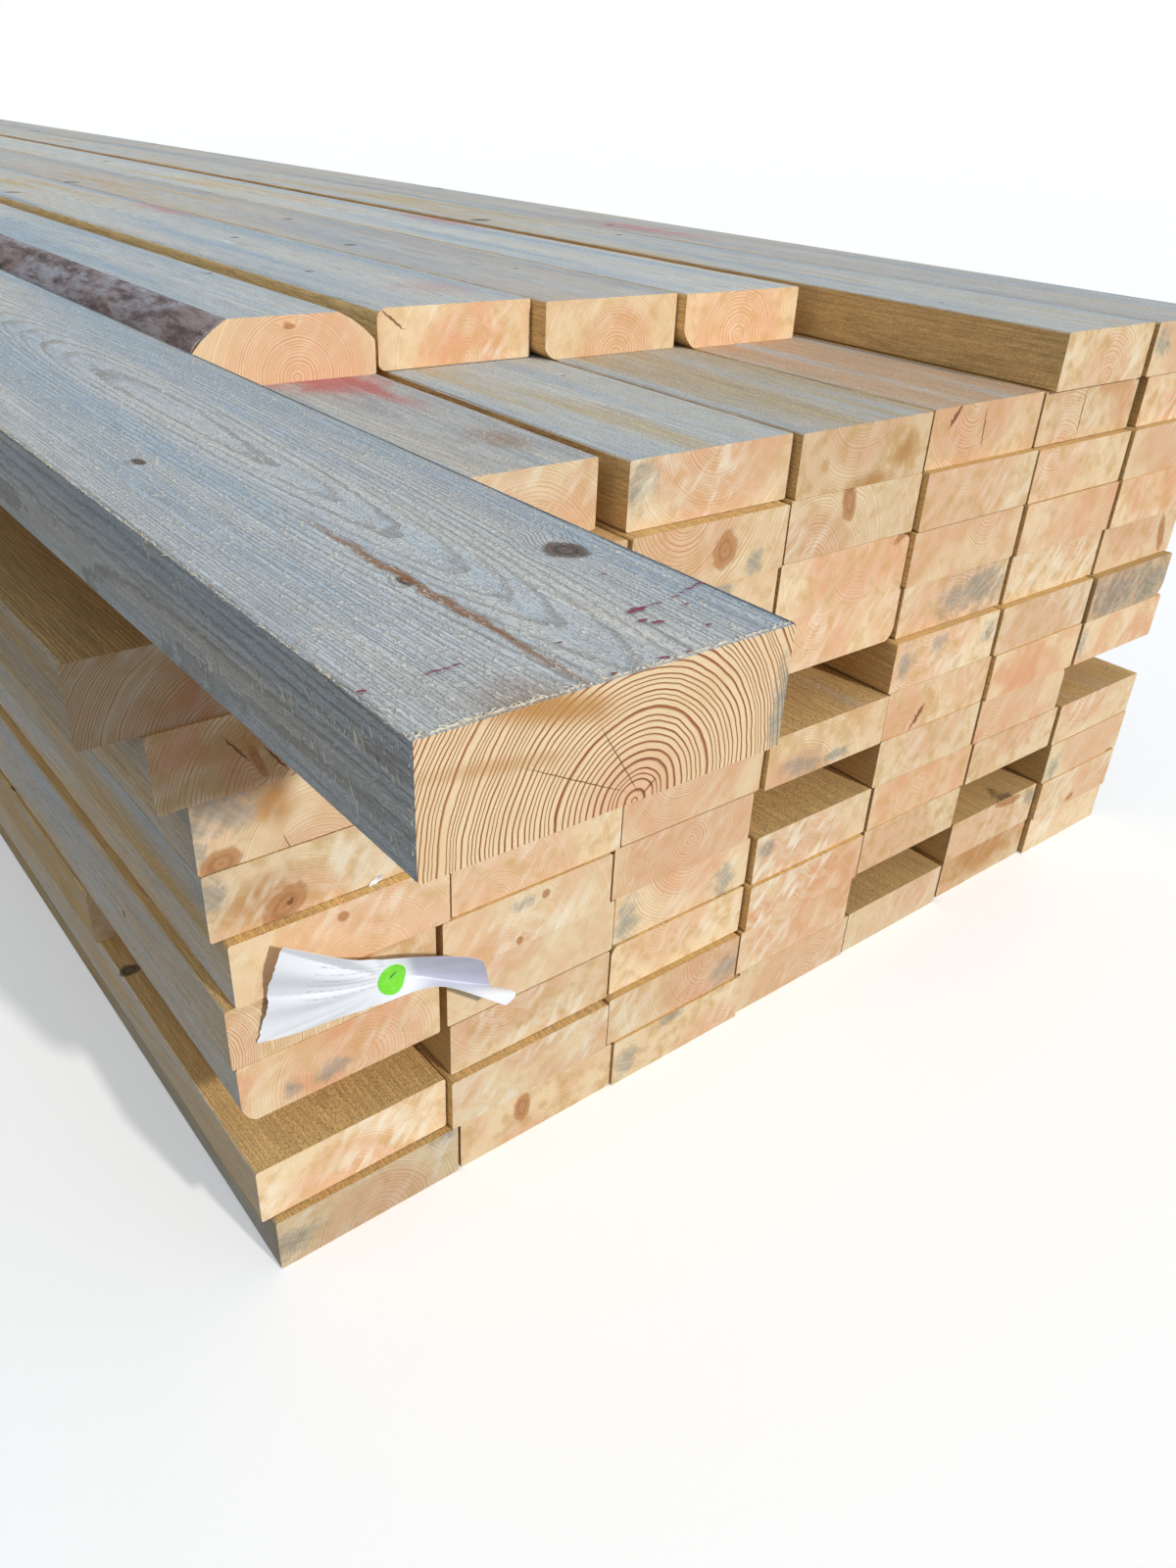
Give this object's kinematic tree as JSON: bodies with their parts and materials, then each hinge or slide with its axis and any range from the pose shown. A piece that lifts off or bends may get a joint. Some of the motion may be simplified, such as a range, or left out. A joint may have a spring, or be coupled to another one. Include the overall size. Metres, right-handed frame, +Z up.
{
  "type": "stack of lumber",
  "caption": "Pack of rough-sawn softwood boards laid side by side in courses, short boards set back, a longer board overhanging, and a curled paper label on the end.",
  "frame": {"origin": "on the underside, at the middle of the pack's width and of its standard length", "axes": "+Y along the boards, away from the labelled end; +Z up; +X to the right seen from the labelled end"},
  "size_m": [1.1425, 5.135, 0.576],
  "materials": {
    "sawn_softwood": "rough-sawn pine, end grain warm cream, faces weathered grey-green",
    "label_paper": "matt white paper, creased and torn",
    "sticker_paper": "bright green sticker, slightly glossy"
  },
  "bodies": {
    "root": {"course_01": "sawn_softwood", "course_02": "sawn_softwood", "course_03": "sawn_softwood", "course_04": "sawn_softwood", "course_05": "sawn_softwood", "course_06": "sawn_softwood", "course_07": "sawn_softwood", "course_08": "sawn_softwood", "course_09": "sawn_softwood", "course_10": "sawn_softwood", "course_11": "sawn_softwood", "course_12": "sawn_softwood", "overhanging_board": "sawn_softwood", "waney_board": "sawn_softwood", "delivery_label": "label_paper", "label_dot": "sticker_paper"}
  },
  "joints": []
}
